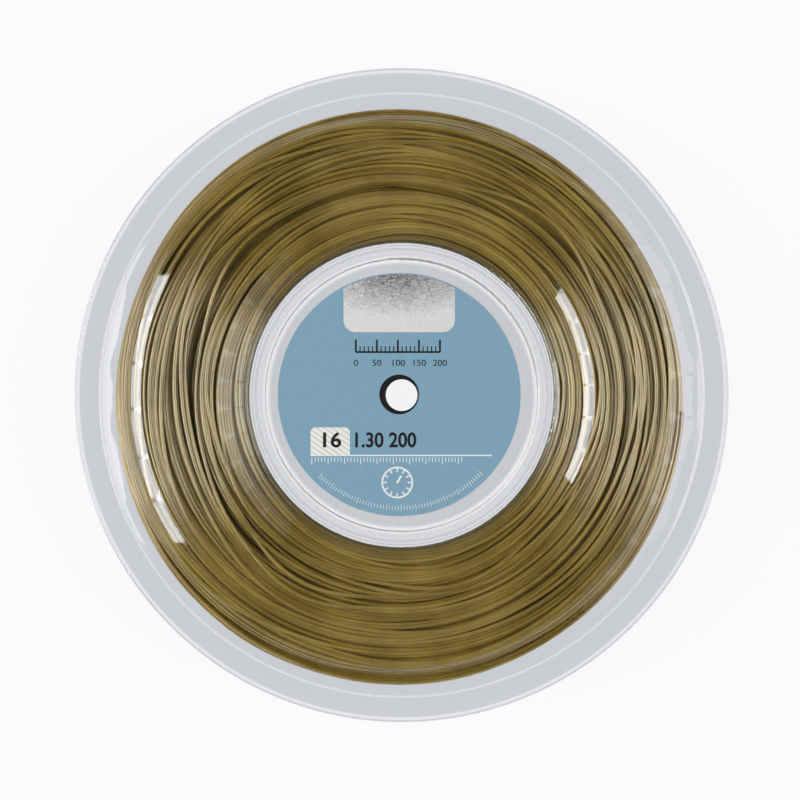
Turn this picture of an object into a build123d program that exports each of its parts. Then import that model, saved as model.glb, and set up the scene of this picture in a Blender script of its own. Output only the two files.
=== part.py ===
from build123d import *
import os
from math import atan2, cos, degrees, hypot, pi, radians, tan

# A full reel of racket string, lying on its rear rim.  Millimetres, +Z up.
# The origin is on the spindle axis, in the plane that the rear rim rests on.
# The label face looks up (+Z) and the top of the label looks along +Y.
#
# The reel is two clear mouldings plugged together round a black bush.  Each
# moulding is a flange with a crowned panel and a raised rim, a recessed web for
# a label, and a boss.  The front one carries the drum, the rear one a spigot
# that plugs inside it.

# ---- driving dimensions ---------------------------------------------------

overall_width = 32.0
flange_diameter = 200.0
flange_wall = 1.4
rim_width = 7.65
rim_over_crown = 0.38
crown_slope = 16.0
crown_end_straight = 1.65

drum_diameter = 94.0
drum_wall = 1.8
spigot_wall = 1.8
spigot_clearance = 0.05
spigot_end_clearance = 0.3
recess_wall = 1.5
recess_depth = 1.2

bush_bore_diameter = 9.8
bush_wall = 2.5
bush_seat_clearance = 0.02
bush_collar_width = 2.0
bush_collar_rise = 1.8
boss_wall = 1.8
bush_chamfer = 0.4

string_diameter = 1.3
winding_fill = 0.65
winding_headroom = 4.85
winding_clearance = 0.3
winding_crown_slope = 12.0
winding_crown_end_straight = 1.45
winding_edge_radius = 1.5

label_thickness = 0.2
label_margin = 4.55
label_hole_margin = 1.2
label_shift_x = -0.75
label_shift_y = 0.2

foil_thickness = 0.1
foil_width = 34.2
foil_low_edge = 19.1
foil_corner_radius = 3.7
foil_edge_gap = 0.4

tab_width = 12.1
tab_height = 8.6
tab_left_edge = -27.2
tab_top_edge = -10.1
tab_corner_radius = 1.5

anchor_mark_angle = 248.5
anchor_mark_spread = 2.5
anchor_mark_stroke = 0.6
anchor_mark_rise = 0.25
anchor_mark_inset = 0.7

edge_radius = 0.4
rim_edge_radius = 0.6
drum_root_radius = 1.6
boss_root_radius = 0.8
crown_foot_radius = 3.0

# ---- sizes worked out from them -------------------------------------------

flange_radius = flange_diameter / 2
rim_radius = flange_radius - rim_width
drum_radius = drum_diameter / 2
drum_inner_radius = drum_radius - drum_wall
spigot_outer_radius = drum_inner_radius - spigot_clearance
spigot_inner_radius = spigot_outer_radius - spigot_wall
groove_inner_radius = spigot_inner_radius - spigot_clearance
recess_radius = groove_inner_radius - recess_wall

bush_bore_radius = bush_bore_diameter / 2
bush_radius = bush_bore_radius + bush_wall
boss_bore_radius = bush_radius + bush_seat_clearance
boss_radius = boss_bore_radius + boss_wall
collar_radius = bush_radius + bush_collar_rise


def arch(half_span, slope_degrees, end_straight):
    """Corner rise and fillet radius of an arch between two feet.

    In an outline the arch is one corner, where the slopes at its feet meet, with a
    fillet that leaves only a short straight at each foot.
    """
    slope = radians(slope_degrees)
    return half_span * tan(slope), (half_span / cos(slope) - end_straight) / tan(slope)


# The panel's arch goes from the drum to the rim, and the rim stands just above its crest.
crown_middle_radius = (drum_radius + rim_radius) / 2
crown_half_span = (rim_radius - drum_radius) / 2
crown_corner_rise, crown_radius = arch(crown_half_span, crown_slope, crown_end_straight)
crown_rise = crown_corner_rise - crown_radius * (1 / cos(radians(crown_slope)) - 1)

# Depths are measured into the reel from the outermost plane of the rim.
panel_face_depth = crown_rise + rim_over_crown
panel_back_depth = panel_face_depth + flange_wall
web_face_depth = panel_face_depth + recess_depth
web_back_depth = web_face_depth + flange_wall
boss_end_depth = (overall_width - bush_collar_width) / 2
drum_end_depth = overall_width - panel_back_depth
spigot_end_depth = overall_width - panel_back_depth - spigot_end_clearance

front_web_z = overall_width - web_face_depth
rear_web_z = web_face_depth
front_panel_z = overall_width - panel_face_depth

winding_inner_radius = drum_radius + winding_clearance
winding_outer_radius = rim_radius - winding_headroom
winding_side_depth = panel_back_depth + winding_clearance
winding_middle_radius = (winding_inner_radius + winding_outer_radius) / 2
winding_half_span = (winding_outer_radius - winding_inner_radius) / 2
winding_corner_rise, winding_crown_radius = arch(
    winding_half_span, winding_crown_slope, winding_crown_end_straight)

label_radius = recess_radius - label_margin
label_hole_radius = bush_bore_radius + label_hole_margin


# ---- the clear mouldings ---------------------------------------------------

def turned(corners):
    """Solid of revolution about Z.  Each corner is (radius, height, fillet)."""
    points = [(radius, height) for radius, height, fillet_radius in corners]
    fillets = [fillet_radius for radius, height, fillet_radius in corners]
    with BuildPart() as part:
        with BuildSketch(Plane.XZ):
            with BuildLine():
                FilletPolyline(*points, radius=fillets, close=True)
            make_face()
        revolve(axis=Axis.Z)
    return part.part


def flange_corners():
    """Outside of a half: label recess, crowned panel, raised rim and back to the drum's root."""
    rim_wall_radius = rim_radius + flange_wall
    crown_face_depth = panel_face_depth - crown_corner_rise
    return [
        (boss_bore_radius, web_face_depth, 0),
        (recess_radius, web_face_depth, edge_radius),
        (recess_radius, panel_face_depth, edge_radius),
        (drum_radius, panel_face_depth, crown_foot_radius),
        (crown_middle_radius, crown_face_depth, crown_radius),
        (rim_radius, panel_face_depth, edge_radius),
        (rim_radius, 0, edge_radius),
        (flange_radius, 0, rim_edge_radius),
        (flange_radius, flange_wall, rim_edge_radius),
        (rim_wall_radius, flange_wall, edge_radius),
        (rim_wall_radius, panel_back_depth, edge_radius),
        (crown_middle_radius, crown_face_depth + flange_wall, crown_radius),
    ]


def drum_corners():
    """The front half's drum, and the groove behind it that takes the spigot's end."""
    return [
        (drum_radius, panel_back_depth, drum_root_radius),
        (drum_radius, drum_end_depth, 0),
        (drum_inner_radius, drum_end_depth, 0),
        (drum_inner_radius, panel_back_depth, 0),
        (groove_inner_radius, panel_back_depth, 0),
        (groove_inner_radius, web_back_depth, edge_radius),
    ]


def spigot_corners():
    """The rear half's spigot, which stands inside the drum."""
    return [
        (drum_radius, panel_back_depth, 0),
        (spigot_outer_radius, panel_back_depth, 0),
        (spigot_outer_radius, spigot_end_depth, edge_radius),
        (spigot_inner_radius, spigot_end_depth, edge_radius),
        (spigot_inner_radius, web_back_depth, edge_radius),
    ]


def boss_corners():
    """The boss round the bush, which ends on the bush's collar."""
    return [
        (boss_radius, web_back_depth, boss_root_radius),
        (boss_radius, boss_end_depth, 0),
        (boss_bore_radius, boss_end_depth, 0),
    ]


def anchor_mark():
    """A raised V on the front hub ring, moulded over the place where the string starts."""
    inner_radius = recess_radius + anchor_mark_inset
    outer_radius = drum_radius - anchor_mark_inset
    middle_radius = (inner_radius + outer_radius) / 2
    half_spread = anchor_mark_spread / 2
    stroke_length = hypot(outer_radius - inner_radius, half_spread)
    stroke_angle = degrees(atan2(half_spread, outer_radius - inner_radius))
    with BuildPart() as mark:
        with BuildSketch(Plane.XY.offset(front_panel_z - edge_radius)):
            for side in (-1, 1):
                with Locations((middle_radius, side * half_spread / 2)):
                    SlotCenterToCenter(stroke_length, anchor_mark_stroke, rotation=side * stroke_angle)
        extrude(amount=edge_radius + anchor_mark_rise)
    return mark.part.rotate(Axis.Z, anchor_mark_angle)


def front_half():
    corners = flange_corners() + drum_corners() + boss_corners()
    raised = [(radius, overall_width - depth, fillet) for radius, depth, fillet in corners]
    return turned(raised) + anchor_mark()


def rear_half():
    return turned(flange_corners() + spigot_corners() + boss_corners())


# ---- the bush ----------------------------------------------------------------

def centre_bush():
    """Black sleeve from web to web.  Its collar is trapped between the ends of the bosses."""
    collar_low_z = boss_end_depth
    collar_high_z = overall_width - boss_end_depth
    mouth_radius = bush_bore_radius + bush_chamfer
    return turned([
        (mouth_radius, rear_web_z, 0),
        (bush_radius, rear_web_z, 0),
        (bush_radius, collar_low_z, 0),
        (collar_radius, collar_low_z, 0),
        (collar_radius, collar_high_z, 0),
        (bush_radius, collar_high_z, 0),
        (bush_radius, front_web_z, 0),
        (mouth_radius, front_web_z, 0),
        (bush_bore_radius, front_web_z - bush_chamfer, 0),
        (bush_bore_radius, rear_web_z + bush_chamfer, 0),
    ])


# ---- the string ----------------------------------------------------------------

def string_winding():
    """The outer shape of the wound string, which is one length from end to end."""
    low_z = winding_side_depth
    high_z = overall_width - winding_side_depth
    return turned([
        (winding_inner_radius, low_z, winding_edge_radius),
        (winding_middle_radius, low_z - winding_corner_rise, winding_crown_radius),
        (winding_outer_radius, low_z, winding_edge_radius),
        (winding_outer_radius, high_z, winding_edge_radius),
        (winding_middle_radius, high_z + winding_corner_rise, winding_crown_radius),
        (winding_inner_radius, high_z, winding_edge_radius),
    ])


# ---- the labels ------------------------------------------------------------------

def label_disc(low_z):
    """A die-cut paper disc, stuck down a little off the axis as a hand leaves it."""
    with BuildPart() as label:
        with BuildSketch(Plane.XY.offset(low_z)):
            with Locations((label_shift_x, label_shift_y)):
                Circle(label_radius)
                Circle(label_hole_radius, mode=Mode.SUBTRACT)
        extrude(amount=label_thickness)
    return label.part


def label_print_area():
    """The part of the front label's face that foil may cover."""
    foil_z = front_web_z + label_thickness
    with BuildPart() as area:
        with BuildSketch(Plane.XY.offset(foil_z)):
            with Locations((label_shift_x, label_shift_y)):
                Circle(label_radius - foil_edge_gap)
                Circle(label_hole_radius + foil_edge_gap, mode=Mode.SUBTRACT)
        extrude(amount=foil_thickness)
    return area.part


def foil_piece(left, low, width, height, corners_at, corner_radius):
    """A foil rectangle on the label.  Two of its corners are round: "low" or "high"."""
    foil_z = front_web_z + label_thickness
    centre_x = label_shift_x + left + width / 2
    centre_y = label_shift_y + low + height / 2
    with BuildPart() as foil:
        with BuildSketch(Plane.XY.offset(foil_z)) as outline:
            with Locations((centre_x, centre_y)):
                Rectangle(width, height)
            rows = outline.vertices().group_by(Axis.Y)
            fillet(rows[0] if corners_at == "low" else rows[-1], radius=corner_radius)
        extrude(amount=foil_thickness)
    return foil.part & label_print_area()


def foil_patch():
    """The silver patch, from its low edge up to the rim of the label."""
    height = label_radius - foil_low_edge
    return foil_piece(-foil_width / 2, foil_low_edge, foil_width, height, "low", foil_corner_radius)


def gauge_tab():
    """The small silver tab beside the hole, which carries the gauge number."""
    low = tab_top_edge - tab_height
    return foil_piece(tab_left_edge, low, tab_width, tab_height, "high", tab_corner_radius)


# ---- write one file for each piece ---------------------------------------------

nodes = {
    "front_half": front_half(),
    "rear_half": rear_half(),
    "centre_bush": centre_bush(),
    "string_winding": string_winding(),
    "front_label": label_disc(front_web_z),
    "rear_label": label_disc(rear_web_z - label_thickness),
    "foil_patch": foil_patch(),
    "gauge_tab": gauge_tab(),
}

os.makedirs("parts", exist_ok=True)
for name, shape in nodes.items():
    export_step(shape, f"parts/{name}.step")

string_section = pi * (string_diameter / 2) ** 2
string_length = nodes["string_winding"].volume * winding_fill / string_section
print(f"string that the winding holds: {string_length / 1000:.1f} m")
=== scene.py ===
"""Looks for a 200 m reel of racket string: two clear mouldings plugged together
round a black bush, one long wound string, and a printed label on each side."""

import math

import bmesh
import bpy
import numpy as np
from mathutils import Matrix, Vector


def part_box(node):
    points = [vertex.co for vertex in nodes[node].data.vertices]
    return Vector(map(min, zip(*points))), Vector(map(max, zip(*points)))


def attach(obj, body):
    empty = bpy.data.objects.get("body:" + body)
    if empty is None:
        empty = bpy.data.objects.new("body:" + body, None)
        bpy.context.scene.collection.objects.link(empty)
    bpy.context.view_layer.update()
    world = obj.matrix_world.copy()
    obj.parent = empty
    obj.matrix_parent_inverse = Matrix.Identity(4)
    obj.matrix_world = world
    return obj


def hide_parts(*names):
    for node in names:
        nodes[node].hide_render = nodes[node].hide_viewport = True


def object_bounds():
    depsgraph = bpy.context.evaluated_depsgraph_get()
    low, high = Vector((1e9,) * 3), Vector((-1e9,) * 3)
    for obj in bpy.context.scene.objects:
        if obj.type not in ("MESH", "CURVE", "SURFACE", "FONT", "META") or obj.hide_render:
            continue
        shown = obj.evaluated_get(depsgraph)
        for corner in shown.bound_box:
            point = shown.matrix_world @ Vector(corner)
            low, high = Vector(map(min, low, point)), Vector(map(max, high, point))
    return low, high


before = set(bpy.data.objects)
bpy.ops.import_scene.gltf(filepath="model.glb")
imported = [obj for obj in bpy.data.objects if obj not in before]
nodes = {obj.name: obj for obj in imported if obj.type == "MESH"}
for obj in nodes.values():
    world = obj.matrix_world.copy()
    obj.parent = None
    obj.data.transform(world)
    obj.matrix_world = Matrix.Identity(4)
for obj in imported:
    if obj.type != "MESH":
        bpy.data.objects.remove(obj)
cad_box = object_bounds()
scene = bpy.context.scene
scene.view_settings.view_transform = "Standard"

# ---------------------------------------------------------------------------
# Camera.  It hangs over the label and looks straight down with a long lens, so
# the rear rim shows just inside the front one.
# ---------------------------------------------------------------------------
rim_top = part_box("front_half")[1].z
camera_height = 1.6
camera_x, camera_y = -0.0005, -0.0015
view_width = 0.2446
sensor_width = 36.0

camera_data = bpy.data.cameras.new("overhead_camera")
camera_data.sensor_width = sensor_width
camera_data.lens = sensor_width * camera_height / view_width
camera_data.clip_end = 20.0
camera = bpy.data.objects.new("overhead_camera", camera_data)
camera.location = (camera_x, camera_y, rim_top + camera_height)
scene.collection.objects.link(camera)
scene.camera = camera

# ---------------------------------------------------------------------------
# Studio.  A pale floor under the reel, a large soft box on either side and a weak
# fill before and behind, and two bent strip lights that the crowned panels mirror.
# ---------------------------------------------------------------------------
backdrop_colour = (0.962, 0.970, 0.986, 1)
backdrop_share = 0.92


def put(node_tree, kind, feeds=None, **settings):
    """A node with its settings.  An input is fed a constant or another node's output."""
    node = node_tree.nodes.new(kind)
    for name, value in settings.items():
        setattr(node, name, value)
    for name, value in (feeds or {}).items():
        if isinstance(value, bpy.types.NodeSocket):
            node_tree.links.new(value, node.inputs[name])
        else:
            node.inputs[name].default_value = value
    return node


def worked_out(node_tree, operation, *values):
    """What a Math node makes of one or two values."""
    return put(node_tree, "ShaderNodeMath", dict(enumerate(values)), operation=operation).outputs[0]


def any_ray(node_tree, path, *kinds):
    """1 for a ray that is of any of these kinds."""
    answer = path.outputs[kinds[0]]
    for kind in kinds[1:]:
        answer = worked_out(node_tree, "MAXIMUM", answer, path.outputs[kind])
    return answer


def blended(node_tree, share, first, second):
    """Two shaders in one.  The share is the second one's."""
    feeds = {0: share, 1: first.outputs[0], 2: second.outputs[0]}
    return put(node_tree, "ShaderNodeMixShader", feeds).outputs[0]


def new_material(name):
    material = bpy.data.materials.new(name)
    material.use_nodes = True
    material.node_tree.nodes.clear()
    output = put(material.node_tree, "ShaderNodeOutputMaterial")
    return material, material.node_tree, output


floor_material, tree, output = new_material("pale_floor")
matt = put(tree, "ShaderNodeBsdfDiffuse", {"Color": (0.82, 0.825, 0.835, 1)})
glow = put(tree, "ShaderNodeEmission", {"Color": backdrop_colour})
path = put(tree, "ShaderNodeLightPath")
seen = any_ray(tree, path, "Is Camera Ray", "Is Glossy Ray", "Is Transmission Ray")
glow_share = worked_out(tree, "MULTIPLY", seen, backdrop_share)
tree.links.new(blended(tree, glow_share, matt, glow), output.inputs["Surface"])

floor_gap = 0.0004
floor_radius = 8.0
floor_mesh = bpy.data.meshes.new("floor")
shape = bmesh.new()
bmesh.ops.create_circle(shape, cap_ends=True, radius=floor_radius, segments=64)
bmesh.ops.translate(shape, verts=shape.verts, vec=(0, 0, cad_box[0].z - floor_gap))
shape.to_mesh(floor_mesh)
shape.free()
floor_mesh.materials.append(floor_material)
floor = bpy.data.objects.new("floor", floor_mesh)
scene.collection.objects.link(floor)

world = bpy.data.worlds.new("studio_air")
scene.world = world
world.use_nodes = True
world.node_tree.nodes.clear()
tree = world.node_tree
output = put(tree, "ShaderNodeOutputWorld")
dim_air = put(tree, "ShaderNodeBackground", {"Color": (0.9, 0.93, 1.0, 1), "Strength": 0.06})
bright_air = put(tree, "ShaderNodeBackground", {"Color": backdrop_colour})
path = put(tree, "ShaderNodeLightPath")
seen = any_ray(tree, path, "Is Camera Ray", "Is Transmission Ray")
tree.links.new(blended(tree, seen, dim_air, bright_air), output.inputs["Surface"])


def soft_box(name, azimuth, off_vertical, distance, size, radiance, colour):
    """A rectangular lamp that faces the reel.  Radiance 1 is a white card in full light."""
    lamp = bpy.data.lights.new(name, "AREA")
    lamp.shape = "RECTANGLE"
    lamp.size, lamp.size_y = size
    lamp.energy = radiance * math.pi * size[0] * size[1]
    lamp.color = colour
    turn, lean = math.radians(azimuth), math.radians(off_vertical)
    light = bpy.data.objects.new(name, lamp)
    light.location = (
        distance * math.sin(lean) * math.cos(turn),
        distance * math.sin(lean) * math.sin(turn),
        distance * math.cos(lean) + rim_top,
    )
    light.rotation_euler = (0, lean, turn)
    scene.collection.objects.link(light)


warm_white, cool_white = (1.0, 0.99, 0.97), (0.93, 0.965, 1.0)
box_distance, fill_distance, strip_distance = 1.6, 1.8, 4.2
# Each has its azimuth and its angle off the vertical, its distance, size and radiance.
for lamp_name, azimuth, off_vertical, distance, size, radiance in (
    ("left_box", 180, 58, box_distance, (1.62, 1.25), 4.8),
    ("right_box", 0, 60, box_distance, (1.50, 1.25), 4.0),
    ("far_fill", 90, 68, fill_distance, (1.2, 1.8), 0.5),
    ("near_fill", 270, 68, fill_distance, (1.2, 1.8), 0.5),
):
    soft_box(lamp_name, azimuth, off_vertical, distance, size, radiance, warm_white)
# A strip is a row of lamps on an arc round the reel.  The right one fades to its ends.
left_angle, left_size, left_radiance = 18.7, (0.36, 0.24), 11.3
for number, azimuth in enumerate(range(158, 209, 10)):
    lamp_name = f"left_strip_{number + 1}"
    soft_box(lamp_name, azimuth, left_angle, strip_distance, left_size, left_radiance, cool_white)
right_angle, right_size, right_radiance = 25.0, (0.74, 0.30), 1.7
for number, azimuth in enumerate(range(-45, 46, 9)):
    lamp_name = f"right_strip_{number + 1}"
    radiance = right_radiance * math.cos(math.radians(azimuth)) ** 4
    soft_box(lamp_name, azimuth, right_angle, strip_distance, right_size, radiance, warm_white)

# ---------------------------------------------------------------------------
# The two clear halves.  Polystyrene moulded with a polished face, faintly blue,
# with fine scuffs from handling.  The spigot of one plugs into the drum of the other.
# ---------------------------------------------------------------------------


def from_the_axis(node_tree, split):
    """How far a place, split into its x, y and z, is from the reel's axis."""
    across = {"X": split.outputs["X"], "Y": split.outputs["Y"]}
    flat = put(node_tree, "ShaderNodeCombineXYZ", across)
    length = put(node_tree, "ShaderNodeVectorMath", {0: flat.outputs[0]}, operation="LENGTH")
    return length.outputs["Value"]


def speckle(node_tree, place, scale, detail):
    """Fine noise over a place."""
    feeds = {"Vector": place, "Scale": scale, "Detail": detail}
    return put(node_tree, "ShaderNodeTexNoise", feeds).outputs[0]


def spread(node_tree, value, from_span, to_span=(0.0, 1.0)):
    """Stretches a span of a value to another span, and holds it at the ends."""
    feeds = dict(zip(("From Min", "From Max", "To Min", "To Max"), from_span + to_span))
    feeds["Value"] = value
    return put(node_tree, "ShaderNodeMapRange", feeds).outputs[0]


def toned(node_tree, share, first, second):
    """A colour between two others.  The share is the second one's."""
    feeds = {"Factor": share, "A": first, "B": second}
    return put(node_tree, "ShaderNodeMix", feeds, data_type="RGBA").outputs["Result"]


def relief(node_tree, height, strength, distance, under=None):
    """A surface normal roughened by a height, over another relief where there is one."""
    feeds = {"Height": height, "Strength": strength, "Distance": distance}
    if under is not None:
        feeds["Normal"] = under
    return put(node_tree, "ShaderNodeBump", feeds).outputs[0]


clear_plastic, tree, output = new_material("clear_plastic")
plastic = put(tree, "ShaderNodeBsdfPrincipled", {"IOR": 1.55})
place = put(tree, "ShaderNodeTexCoord").outputs["Object"]
axis_distance = from_the_axis(tree, put(tree, "ShaderNodeSeparateXYZ", {0: place}))
polished, scuffed = 0.02, 0.06
scuffs = speckle(tree, place, scale=420.0, detail=3.0)
plastic_roughness = spread(tree, scuffs, (0.45, 0.75), (polished, scuffed))
tree.links.new(plastic_roughness, plastic.inputs["Roughness"])

# The recess round the label is tinted greyer than the rest: painted shade in the recess.
recess_edge = (0.0402, 0.0407)
out_of_recess = spread(tree, axis_distance, recess_edge)
recess_shade_tint, clear_tint = (0.895, 0.897, 0.903, 1), (0.957, 0.960, 0.968, 1)
tint_with_recess_shade = toned(tree, out_of_recess, recess_shade_tint, clear_tint)
tree.links.new(tint_with_recess_shade, plastic.inputs["Base Color"])

# The hub's faces are a little milky, from scratches that run round the axis: least in
# the recess, most on the step at its edge, and not at all past the drum.
hub_inner, hub_outer, drum_edge = 0.0370, 0.0470, 0.0462
recess_milk, step_foot_milk, step_milk, face_milk = 0.08, 0.50, 0.85, 0.37
milk_at_radius = (
    (0.0400, recess_milk),
    (0.0406, step_foot_milk),
    (0.0416, step_milk),
    (0.0421, step_milk),
    (0.0427, face_milk),
    (drum_edge, face_milk),
)
across_hub = spread(tree, axis_distance, (hub_inner, hub_outer))
milky_zones = put(tree, "ShaderNodeValToRGB", {"Fac": across_hub})
stops = milky_zones.color_ramp.elements
stops[0].color, stops[1].color = (recess_milk, recess_milk, recess_milk, 1), (0, 0, 0, 1)
for radius, milk in milk_at_radius:
    stop = stops.new((radius - hub_inner) / (hub_outer - hub_inner))
    stop.color = (milk, milk, milk, 1)
ring_feeds = {"W": axis_distance, "Scale": 1400.0, "Detail": 3.0}
turned_rings = put(tree, "ShaderNodeTexNoise", ring_feeds, noise_dimensions="1D").outputs[0]
scratched = spread(tree, turned_rings, (0.3, 0.7), (0.25, 1.0))
milkiness = worked_out(tree, "MULTIPLY", scratched, milky_zones.outputs["Color"])
clearness = worked_out(tree, "SUBTRACT", 1.0, milkiness)
tree.links.new(clearness, plastic.inputs["Transmission Weight"])

# The crown leans: its crest sits a little further out than the plain arc has it, so
# both faces of a panel rise outward by a slight slope.  Over that lie the fine rings
# of the turned mould, on the hub alone, and a faint ripple.
crown_lean = 0.025
surface = put(tree, "ShaderNodeNewGeometry")
facing = put(tree, "ShaderNodeSeparateXYZ", {0: surface.outputs["Normal"]})
up_or_down = worked_out(tree, "SIGN", facing.outputs["Z"])
outward_rise = worked_out(tree, "MULTIPLY", axis_distance, up_or_down)
leaning = relief(tree, outward_rise, strength=1.0, distance=crown_lean)
on_hub = spread(tree, axis_distance, (drum_edge, hub_outer), (1.0, 0.0))
hub_rings = worked_out(tree, "MULTIPLY", turned_rings, on_hub)
ringed = relief(tree, hub_rings, strength=0.6, distance=0.00012, under=leaning)
ripple = speckle(tree, place, scale=45.0, detail=1.0)
rippled = relief(tree, ripple, strength=0.02, distance=0.0004, under=ringed)
tree.links.new(rippled, plastic.inputs["Normal"])

# Light for the string and the label passes straight through, and so does a ray that has
# been thrown to and fro between the faces for long.
most_bounces = 5.5
let_through = put(tree, "ShaderNodeBsdfTransparent", {"Color": (0.88, 0.885, 0.895, 1)})
path = put(tree, "ShaderNodeLightPath")
lamp_ray = any_ray(tree, path, "Is Shadow Ray", "Is Diffuse Ray", "Is Glossy Ray")
long_trapped = worked_out(tree, "GREATER_THAN", path.outputs["Ray Depth"], most_bounces)
goes_through = worked_out(tree, "MAXIMUM", lamp_ray, long_trapped)
clear = blended(tree, goes_through, plastic, let_through)
tree.links.new(clear, output.inputs["Surface"])


def finish_with(node_name, material):
    """Gives a CAD node its material in every slot."""
    slots = nodes[node_name].data.materials
    for index in range(len(slots)):
        slots[index] = material
    if not slots:
        slots.append(material)


finish_with("front_half", clear_plastic)
finish_with("rear_half", clear_plastic)

# ---------------------------------------------------------------------------
# The centre bush.  A black nylon sleeve, turned smooth, trapped between the two
# bosses; its end shows as a black ring in the hole of the label.
# ---------------------------------------------------------------------------


def skinned_material(name, feeds):
    """A material with a single skin, and the place on the piece that its patterns read."""
    material, node_tree, output = new_material(name)
    skin = put(node_tree, "ShaderNodeBsdfPrincipled", feeds)
    node_tree.links.new(skin.outputs[0], output.inputs["Surface"])
    place = put(node_tree, "ShaderNodeTexCoord").outputs["Object"]
    return material, node_tree, skin.inputs, place


matt_black = {"Roughness": 0.38, "Specular IOR Level": 0.25}
black_plastic, tree, bush_skin, place = skinned_material("black_plastic", matt_black)
bush_grain = speckle(tree, place, scale=2200.0, detail=2.0)
bush_tone = toned(tree, bush_grain, (0.003, 0.003, 0.004, 1), (0.008, 0.008, 0.009, 1))
tree.links.new(bush_tone, bush_skin["Base Color"])
bush_relief = relief(tree, bush_grain, strength=0.15, distance=0.00005)
tree.links.new(bush_relief, bush_skin["Normal"])
finish_with("centre_bush", black_plastic)

# ---------------------------------------------------------------------------
# The string.  One 200 m length of golden polyester, 1.3 mm thick, wound on the
# drum under tension.  A guide lays it to and fro between the panels, and each new
# turn drops into the low places of the turns under it.
# ---------------------------------------------------------------------------
string_diameter = 0.0013
string_length = 200.0
drum_radius = 0.047
winding_low, winding_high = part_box("string_winding")
middle_height = (winding_low.z + winding_high.z) / 2
crest_half_width = (winding_high.z - winding_low.z) / 2
winding_radius = winding_high.x
crest_radius = (drum_radius + winding_radius) / 2
half_span = (winding_radius - drum_radius) / 2

# A crowned panel stands a little off the winding, and comes in by so much at its feet.
panel_gap = 0.0003
foot_fall = 0.0022

# The guide goes this far in a turn of the reel, a little unevenly.  It turns back up to
# so much short of a panel, and waits there for about a turn.
guide_pitch = 0.00140
pitch_spread = (0.85, 1.15)
guide_wander = 0.00030
wander_reach = 30
turnaround_loss = 0.0020
early_rarity = 1.5
turnaround_dwell = 0.9
dwell_spread = (0.5, 1.5)

# The winding is worked out in overlapping lengths.  Every length looks for the lowest
# places beside the guide's line, slides into them, and lies on the turns under it.
turns_that_bear = 64
lookahead = 96
kept_each_time = 48
settle_reach = 0.0006
settle_tries = 9
settle_reluctance = 0.15
settle_pull = 0.16
string_press = 0.78
search_reach = 6
bend_reach = 7
deepest_drop = 0.0026
turns_in_a_layer = 15
looseness = 0.000025
loose_side = math.radians(190)
far_off = 1.0

# The string's centre line is a row of stations, so many to a turn of the reel.
stations_per_turn = 108
luck = np.random.default_rng(21)
station_angle = 2 * math.pi / stations_per_turn
turn_count = math.ceil(string_length / (math.pi * (drum_radius + winding_radius)))
station_count = turn_count * stations_per_turn
lowest_centre = drum_radius + string_diameter / 2


def half_width_at(radius):
    """How far from the middle the string's own centre line may go, at a radius."""
    off_crest = (radius - crest_radius) / half_span
    panel = crest_half_width + panel_gap - foot_fall * off_crest**2
    return panel - string_diameter / 2


def smoothed(values, reach):
    """Each value's mean with its neighbours, which count less the further off they are."""
    window = np.hanning(2 * reach + 3)[1:-1]
    return np.convolve(np.pad(values, reach, mode="edge"), window / window.sum(), mode="valid")


def resting_radius(place_along, bed_along, bed_radius):
    """Where the string's centre comes to lie when it is laid down at these places."""
    apart = np.abs(bed_along - place_along[None, :])
    rise = string_press * np.sqrt(np.clip(string_diameter**2 - apart**2, 0, None))
    on_turns = np.where(apart < string_diameter, bed_radius + rise, 0.0).max(axis=0)
    return np.maximum(on_turns, lowest_centre)


wander = smoothed(luck.normal(size=station_count + lookahead), wander_reach)
wander *= guide_wander / wander.std()
along = np.zeros(station_count + lookahead)
resting = np.full(station_count + lookahead, lowest_centre)
radius_of = np.full(station_count + lookahead, lowest_centre)

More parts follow.
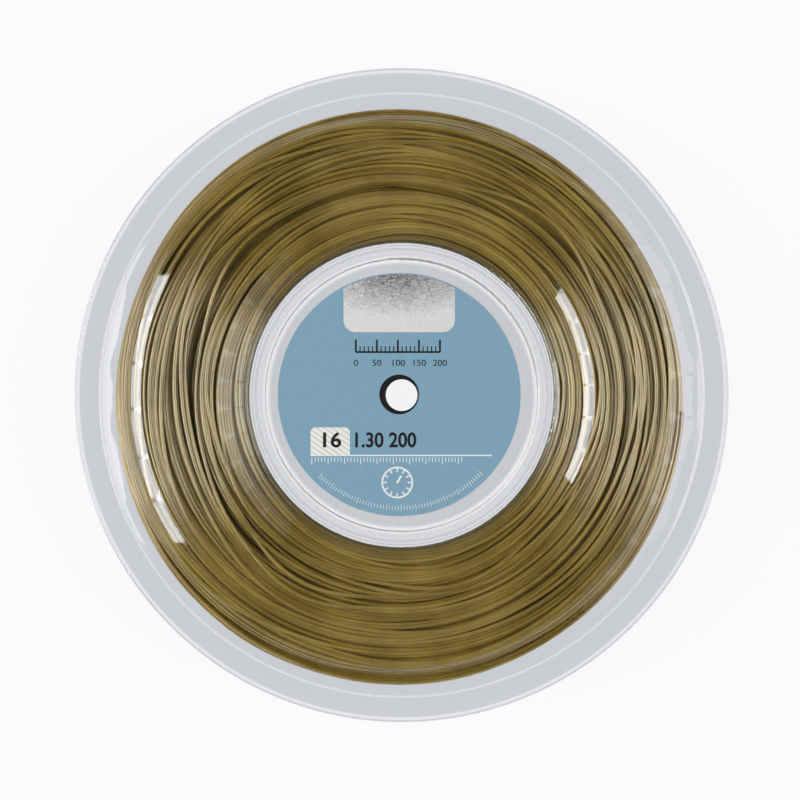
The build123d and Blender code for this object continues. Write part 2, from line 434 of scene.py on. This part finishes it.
guide, heading, dwell = 0.0, 1, 0
reach = half_width_at(lowest_centre) - turnaround_loss * luck.random()
step = guide_pitch / stations_per_turn
settled_shift, settling_speed = 0.0, 0.0
tries = np.linspace(-settle_reach, settle_reach, settle_tries)
lags = stations_per_turn * np.arange(1, turns_that_bear + 1)
overlap = lookahead - kept_each_time
fade_in = np.ones(lookahead)
fade_in[:overlap] = np.linspace(0, 1, overlap)
for done in range(0, station_count, kept_each_time):
    # Where the guide would lay this length.  Only the part that is kept moves it on.
    ahead = np.arange(done, done + lookahead)
    wanted = np.empty(lookahead)
    guide_kept = None
    for index in range(lookahead):
        if index == kept_each_time:
            guide_kept = (guide, heading, reach, step, dwell)
        wanted[index] = guide
        if dwell > 0:
            dwell -= 1
            continue
        guide += heading * step
        if heading * guide > reach:
            heading = -heading
            dwell = turnaround_dwell * luck.uniform(*dwell_spread) * stations_per_turn
            loss = turnaround_loss * luck.random() ** early_rarity
            reach = half_width_at(radius_of[done - 1]) - loss
            step = guide_pitch * luck.uniform(*pitch_spread) / stations_per_turn
    guide, heading, reach, step, dwell = guide_kept
    wanted += wander[ahead]

    # The turns under it.  Those that aren't there yet lie far off and bear nothing.
    earlier = ahead[None, :] - lags[:, None]
    laid = earlier >= 0
    bed_along = np.where(laid, along[earlier], far_off)
    bed_radius = np.where(laid, radius_of[earlier], 0.0)

    # How far it slides sideways, to where it lies lower, as a damped spring would.
    limit = half_width_at(radius_of[done - 1])
    heights = np.array(
        [
            smoothed(resting_radius(wanted + shift, bed_along, bed_radius), search_reach)
            for shift in tries
        ]
    )
    past_limit = np.abs(wanted[None, :] + tries[:, None]) > limit
    heights += past_limit * string_diameter
    heights += (tries[:, None] / settle_reach) ** 2 * string_diameter * settle_reluctance
    best_shift = tries[heights.argmin(axis=0)]
    shifts = np.empty(lookahead)
    shift, speed = settled_shift, settling_speed
    for index in range(lookahead):
        speed += settle_pull * (settle_pull * (best_shift[index] - shift) - 2 * speed)
        shift += speed
        shifts[index] = shift
        if index == kept_each_time - 1:
            settled_shift, settling_speed = shift, speed
    place_along = np.clip(wanted + shifts, -limit, limit)
    if done:
        place_along = fade_in * place_along + (1 - fade_in) * along[ahead]

    # Where it comes to lie.  A tight string bridges the deepest gaps and bends softly.
    last_layer = radius_of[max(done - turns_in_a_layer * stations_per_turn, 0) : done]
    rests_at = resting_radius(place_along, bed_along, bed_radius)
    if done:
        rests_at = np.maximum(rests_at, last_layer.mean() - deepest_drop)
    rests_at += looseness * (1 + np.cos(ahead * station_angle - loose_side))
    if done:
        rests_at = fade_in * rests_at + (1 - fade_in) * resting[ahead]
    along[ahead] = place_along
    resting[ahead] = rests_at
    from_here = max(done - bend_reach, 0)
    bent = smoothed(resting[from_here : done + lookahead], bend_reach)
    radius_of[ahead] = bent[done - from_here :]

along = along[:station_count]
radius_of = radius_of[:station_count]

# Here and there a slack length rides up beside a panel and crosses its neighbours.
slack_places = 72
slack_rise = (0.0014, 0.0036)
slack_half_arc = (7, 17)
slack_inner, slack_outer = 0.055, 0.0815
beside_a_panel = 0.0010
slack_luck = np.random.default_rng(4)
by_a_panel = np.abs(along) > half_width_at(radius_of) - beside_a_panel
by_a_panel &= (radius_of > slack_inner) & (radius_of < slack_outer)
for middle in slack_luck.choice(np.flatnonzero(by_a_panel), slack_places, replace=False):
    half_arc = slack_luck.integers(*slack_half_arc)
    rise = slack_luck.uniform(*slack_rise)
    if middle + half_arc >= station_count:
        continue
    span = np.arange(middle - half_arc, middle + half_arc + 1)
    lift = (1 + np.cos(np.pi * (span - middle) / half_arc)) / 2
    radius_of[span] += lift * rise
    at_panel = np.sign(along[middle]) * half_width_at(radius_of[span])
    along[span] += (at_panel - along[span]) * np.minimum(1, 2 * lift)

angles = np.arange(station_count) * station_angle
centre_line = np.column_stack(
    (radius_of * np.cos(angles), radius_of * np.sin(angles), middle_height + along)
)
laid_length = np.linalg.norm(np.diff(centre_line, axis=0), axis=1).sum()
print(f"string laid: {laid_length:.1f} m in {turn_count} turns")
print(f"outermost centre line: {radius_of.max() * 1000:.2f} mm")

string_look = {
    "Roughness": 0.18,
    "IOR": 1.78,
    "Specular IOR Level": 1.0,
    "Specular Tint": (1.0, 0.95, 0.82, 1),
}
golden_string, tree, string_skin, place = skinned_material("golden_string", string_look)
# The streaks run along the string, and the patches come and go over the whole winding.
split = put(tree, "ShaderNodeSeparateXYZ", {0: place})
axis_distance = from_the_axis(tree, split)
unrolled = put(tree, "ShaderNodeCombineXYZ", {"X": axis_distance, "Y": split.outputs["Z"]})
streaks = speckle(tree, unrolled.outputs[0], scale=380.0, detail=0.0)
patches = speckle(tree, place, scale=60.0, detail=2.0)
lightness = spread(tree, worked_out(tree, "ADD", streaks, patches), (0.7, 1.3))
deep_gold, light_gold = (0.225, 0.146, 0.018, 1), (0.44, 0.308, 0.061, 1)
string_colour = toned(tree, lightness, deep_gold, light_gold)
# The innermost turns stand in the shade of the others.
shaded_turns, deepest_shade = (0.0482, 0.0508), 0.6
shade_colour = (0.075, 0.066, 0.040, 1)
in_shade = spread(tree, axis_distance, shaded_turns, (deepest_shade, 0.0))
shaded_colour = toned(tree, in_shade, string_colour, shade_colour)
tree.links.new(shaded_colour, string_skin["Base Color"])
string_relief = relief(tree, streaks, strength=0.02, distance=0.00008)
tree.links.new(string_relief, string_skin["Normal"])

turns_in_a_run = 96
for number, first in enumerate(range(0, turn_count, turns_in_a_run)):
    start = first * stations_per_turn
    end = min((first + turns_in_a_run) * stations_per_turn + 1, station_count)
    run_line = centre_line[start:end]
    run = bpy.data.curves.new("string_run", "CURVE")
    run.dimensions = "3D"
    run.twist_mode = "Z_UP"
    run.bevel_depth = string_diameter / 2
    run.bevel_resolution = 2
    run.use_fill_caps = True
    spline = run.splines.new("POLY")
    spline.points.add(len(run_line) - 1)
    spline.points.foreach_set("co", np.column_stack((run_line, np.ones(len(run_line)))).ravel())
    run_curve = bpy.data.objects.new("string_run", run)
    run_mesh = bpy.data.meshes.new_from_object(run_curve)
    bpy.data.objects.remove(run_curve)
    bpy.data.curves.remove(run)
    run_mesh.shade_smooth()
    run_mesh.materials.clear()
    run_mesh.materials.append(golden_string)
    piece = bpy.data.objects.new(f"string_run_{number + 1}", run_mesh)
    scene.collection.objects.link(piece)
    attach(piece, "root")
    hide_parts("string_winding")
    print(piece.name, "triangles", sum(len(face.vertices) - 2 for face in run_mesh.polygons))

# ---------------------------------------------------------------------------
# The labels.  Coated paper discs, stuck into the recess on each side: blue with
# a fine mottle on the front, plain white on the rear.
# ---------------------------------------------------------------------------
bare_paper = (0.78, 0.78, 0.77, 1)


def paper(name, dark, light, roughness, printed_above):
    """Coated paper: two close tones mixed by a fine mottle, bare below a height."""
    material, tree, sheet_skin, place = skinned_material(name, {"Roughness": roughness})
    mottle = speckle(tree, place, scale=700.0, detail=5.0)
    split = put(tree, "ShaderNodeSeparateXYZ", {0: place})
    printed = worked_out(tree, "GREATER_THAN", split.outputs["Z"], printed_above)
    sheet = toned(tree, printed, bare_paper, toned(tree, mottle, dark, light))
    tree.links.new(sheet, sheet_skin["Base Color"])
    tooth = relief(tree, mottle, strength=0.1, distance=0.00003)
    tree.links.new(tooth, sheet_skin["Normal"])
    return material


blue_dark, blue_light = (0.146, 0.274, 0.374, 1), (0.178, 0.318, 0.420, 1)
white_dark, white_light = (0.72, 0.72, 0.71, 1), (0.80, 0.80, 0.79, 1)
printed_depth = 0.00005
label_low, label_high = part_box("front_label")
blue_from = label_high.z - printed_depth
finish_with("front_label", paper("blue_paper", blue_dark, blue_light, 0.5, blue_from))
finish_with("rear_label", paper("white_paper", white_dark, white_light, 0.55, 0.0))

# ---------------------------------------------------------------------------
# The silver foil.  Hot-stamped film with a fine crystalline grain; the large patch at
# the top of the label carries a painted reflection, dark to bright; the small tab is hatched.
# ---------------------------------------------------------------------------
patch_low, patch_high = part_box("foil_patch")
patch_height = patch_high.y - patch_low.y
patch_top = ((patch_low.x + patch_high.x) / 2, patch_high.y, patch_high.z)
film = {"Metallic": 0.55, "Roughness": 0.5}
silver_patch, tree, foil_skin, place = skinned_material("silver_patch", film)
# A painted reflection: the patch is painted darkest and most flecked at the middle of its
# top edge, and brighter and smoother from there in a wide fan.
fan_spread = (0.45, 1.0, 0.0)
from_top = put(tree, "ShaderNodeVectorMath", {0: place, 1: patch_top}, operation="SUBTRACT")
fan = put(tree, "ShaderNodeMapping", {"Vector": from_top.outputs[0], "Scale": fan_spread})
fan_length = put(tree, "ShaderNodeVectorMath", {0: fan.outputs[0]}, operation="LENGTH")
down_the_fan = fan_length.outputs["Value"]
# Painted reflection: the fade from dark to bright across the patch.
fade = spread(tree, down_the_fan, (0.0, 0.75 * patch_height), (0.10, 0.86))
stretched = put(tree, "ShaderNodeMapping", {"Vector": place, "Scale": (800.0, 1500.0, 800.0)})
crystals = {
    "Vector": stretched.outputs[0],
    "Scale": 1.0,
    "Detail": 4.0,
    "Roughness": 0.75,
    "Distortion": 1.5,
}
grain = put(tree, "ShaderNodeTexNoise", crystals).outputs[0]
contrast = spread(tree, grain, (0.3, 0.7), (-0.75, 0.75))
fleck_depth = spread(tree, down_the_fan, (0.0, 0.85 * patch_height), (1.0, 0.15))
flecks = worked_out(tree, "MULTIPLY", contrast, fleck_depth)
painted_reflection_and_grain = worked_out(tree, "ADD", fade, flecks)
painted_reflection_and_grain.node.use_clamp = True
foil_tone = toned(tree, painted_reflection_and_grain, (0.10, 0.105, 0.11, 1), (0.78, 0.785, 0.78, 1))
tree.links.new(foil_tone, foil_skin["Base Color"])
foil_relief = relief(tree, grain, strength=0.25, distance=0.00005)
tree.links.new(foil_relief, foil_skin["Normal"])
finish_with("foil_patch", silver_patch)

duller_film = {"Metallic": 0.3, "Roughness": 0.5}
silver_tab, tree, tab_skin, place = skinned_material("silver_tab", duller_film)
hatch_slant = (0, 0, math.radians(35))
slanted = put(tree, "ShaderNodeMapping", {"Vector": place, "Rotation": hatch_slant})
hatch_feeds = {"Vector": slanted.outputs[0], "Scale": 230.0, "Distortion": 0.4}
hatch = put(tree, "ShaderNodeTexWave", hatch_feeds, bands_direction="Y")
tab_tone = toned(tree, hatch.outputs["Fac"], (0.60, 0.60, 0.57, 1), (0.80, 0.80, 0.77, 1))
tree.links.new(tab_tone, tab_skin["Base Color"])
finish_with("gauge_tab", silver_tab)

# ---------------------------------------------------------------------------
# The print.  Thin ink on the label: dark numbers and a dark scale of lengths, and
# in white a ruled line, a row of ticks under it, a small dial and a curved scale.
# ---------------------------------------------------------------------------
label_x = (label_low.x + label_high.x) / 2
label_y = (label_low.y + label_high.y) / 2
label_top = label_high.z
foil_top = patch_high.z
ink_thickness = 0.00003
numeral_share = 0.7  # A numeral is this high in a font of size 1.


def ink(name, dark, light):
    """Screen ink: two close tones, duller than the paper under it."""
    film = {"Roughness": 0.5, "Specular IOR Level": 0.2}
    material, tree, film_skin, place = skinned_material(name, film)
    density = speckle(tree, place, scale=3000.0, detail=2.0)
    shade = toned(tree, density, dark, light)
    tree.links.new(shade, film_skin["Base Color"])
    return material


dark_ink = ink("dark_ink", (0.004, 0.004, 0.005, 1), (0.009, 0.009, 0.011, 1))
pale_ink = ink("pale_ink", (0.66, 0.70, 0.73, 1), (0.76, 0.79, 0.81, 1))


def print_piece(name, mesh, material):
    mesh.materials.clear()
    mesh.materials.append(material)
    piece = bpy.data.objects.new(name, mesh)
    scene.collection.objects.link(piece)
    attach(piece, "root")


def print_number(name, text, x, y, z, height, stretch, weight=0.0):
    """Numerals centred on a place.  Stretch widens them and weight thickens the strokes."""
    curve = bpy.data.curves.new(name, "FONT")
    curve.body = text
    curve.align_x, curve.align_y = "CENTER", "CENTER"
    curve.size = height / numeral_share
    curve.offset = weight
    curve.extrude = ink_thickness / 2
    writing = bpy.data.objects.new(name, curve)
    mesh = bpy.data.meshes.new_from_object(writing)
    bpy.data.objects.remove(writing)
    bpy.data.curves.remove(curve)
    shape = bmesh.new()
    shape.from_mesh(mesh)
    middle = (label_x + x, label_y + y, z + ink_thickness / 2)
    bmesh.ops.scale(shape, verts=shape.verts, vec=(stretch, 1, 1))
    bmesh.ops.translate(shape, verts=shape.verts, vec=middle)
    shape.to_mesh(mesh)
    shape.free()
    print_piece(name, mesh, dark_ink)


def add_bar(shape, x, y, width, height, turn=0.0):
    """A thin bar of ink on the label, turned about its own middle."""
    middle = (label_x + x, label_y + y, label_top + ink_thickness / 2)
    new = bmesh.ops.create_cube(shape, size=1.0)["verts"]
    bmesh.ops.scale(shape, verts=new, vec=(width, height, ink_thickness))
    bmesh.ops.rotate(shape, verts=new, matrix=Matrix.Rotation(turn, 3, "Z"))
    bmesh.ops.translate(shape, verts=new, vec=middle)


def add_spoke(shape, x, y, radius, turn, length, width):
    """A bar whose length lies on a line out from a place, at a radius and an angle."""
    bar_x = x + radius * math.cos(turn)
    bar_y = y + radius * math.sin(turn)
    add_bar(shape, bar_x, bar_y, length, width, turn)


def bars_to_piece(name, shape, material):
    mesh = bpy.data.meshes.new(name)
    shape.to_mesh(mesh)
    shape.free()
    print_piece(name, mesh, material)


# The scale of lengths stands in the widest space, over the hole.
shape = bmesh.new()
scale_left, scale_right, scale_low = -0.0133, 0.0125, 0.0130
scale_length = scale_right - scale_left
scale_steps, scale_line, fine_line = 20, 0.00055, 0.0003
long_tick, short_tick = 0.0038, 0.0018
add_bar(shape, (scale_left + scale_right) / 2, scale_low, scale_length, scale_line)
for tick in range(scale_steps + 1):
    tick_x = scale_left + scale_length * tick / scale_steps
    tick_height = long_tick if tick % 5 == 0 else short_tick
    tick_width = scale_line if tick % 5 == 0 else fine_line
    add_bar(shape, tick_x, scale_low + tick_height / 2, tick_width, tick_height)
bars_to_piece("length_scale", shape, dark_ink)
lengths_y, lengths_height, wide, narrow = 0.0096, 0.0019, 1.1, 0.9
for number, length in enumerate((0, 50, 100, 150, 200)):
    name, text = f"length_{length}", str(length)
    number_x = scale_left + scale_length * number / 4
    print_number(name, text, number_x, lengths_y, label_top, lengths_height, wide)

# The gauge stands on the silver tab, the string's thickness and length beside it.
sizes_y, sizes_height, weight = -0.0142, 0.0044, 0.00014
for name, text, number_x, top, stretch in (
    ("gauge_number", "16", -0.02115, foil_top, wide),
    ("thickness_number", "1.30 200", -0.0046, label_top, narrow),
):
    print_number(name, text, number_x, sizes_y, top, sizes_height, stretch, weight)

# The ruled line starts at the silver tab.  A row of ticks hangs under it.
shape = bmesh.new()
rule_x, rule_y, rule_length, rule_line = 0.0007, -0.0187, 0.0556, 0.00036
ticks_left, tick_pitch, tick_gap, tick_line = -0.0268, 0.001, 0.0006, 0.00022
rule_ticks, long_tick, short_tick = 47, 0.0021, 0.0014
add_bar(shape, rule_x, rule_y, rule_length, rule_line)
for tick in range(rule_ticks):
    tick_height = long_tick if tick % 5 == 0 else short_tick
    tick_x = ticks_left + tick * tick_pitch
    add_bar(shape, tick_x, rule_y - tick_gap - tick_height / 2, tick_line, tick_height)
bars_to_piece("rule_and_ticks", shape, pale_ink)

# The dial: a ring with ticks inside it and one short hand.
shape = bmesh.new()
dial_x, dial_y, dial_radius = -0.0006, -0.0270, 0.0046
ring_segments, ring_line, ring_overlap = 48, 0.00055, 1.1
segment_length = 2 * math.pi * dial_radius / ring_segments * ring_overlap
for segment in range(ring_segments):
    turn = 2 * math.pi * segment / ring_segments
    add_spoke(shape, dial_x, dial_y, dial_radius, turn, ring_line, segment_length)
dial_ticks, tick_length, tick_line, tick_inset = 12, 0.0012, 0.00042, 0.0008
tick_middle = dial_radius - tick_inset
for tick in range(dial_ticks):
    turn = 2 * math.pi * tick / dial_ticks
    add_spoke(shape, dial_x, dial_y, tick_middle, turn, tick_length, tick_line)
hand_turn, hand_middle, hand_length, hand_line = math.radians(60), 0.0011, 0.0026, 0.0006
add_spoke(shape, dial_x, dial_y, hand_middle, hand_turn, hand_length, hand_line)
bars_to_piece("small_dial", shape, pale_ink)

# The curved scale follows the lower edge of the label.
shape = bmesh.new()
curved_radius, curved_line = 0.0348, 0.00016
curved_ticks, first_degree, degrees_apart = 61, 226, 1.5
long_tick, short_tick = 0.0018, 0.0012
for tick in range(curved_ticks):
    turn = math.radians(first_degree + degrees_apart * tick)
    tick_length = long_tick if tick % 5 == 0 else short_tick
    add_spoke(shape, 0.0, 0.0, curved_radius, turn, tick_length, curved_line)
bars_to_piece("curved_scale", shape, pale_ink)
